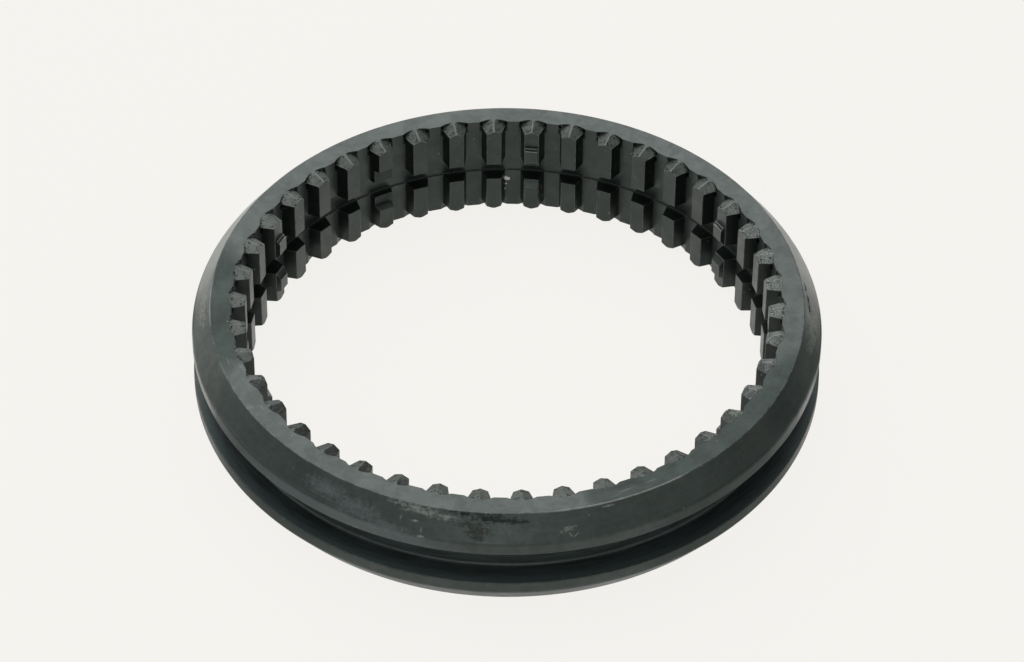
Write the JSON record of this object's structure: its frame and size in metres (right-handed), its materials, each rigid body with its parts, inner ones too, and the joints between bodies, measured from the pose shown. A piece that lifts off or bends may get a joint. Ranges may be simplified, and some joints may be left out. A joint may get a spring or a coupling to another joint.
{
  "type": "shift sleeve",
  "caption": "Steel ring that slides on the teeth of a gearbox hub to engage a gear, with internal pointed dog teeth and a shift fork groove around the outside.",
  "frame": {"origin": "centre of the ring, on its axis, midway between the two flat faces", "axes": "+Z along the ring's axis towards the face that is up in the picture, +Y through the middle of a stop tooth"},
  "size_m": [0.148, 0.148, 0.027],
  "materials": {
    "phosphated_steel": "dark grey-green phosphate coat on machined steel, satin, with lighter edges and fine scuffs"
  },
  "bodies": {
    "root": {"shift_sleeve": "phosphated_steel"}
  },
  "joints": []
}
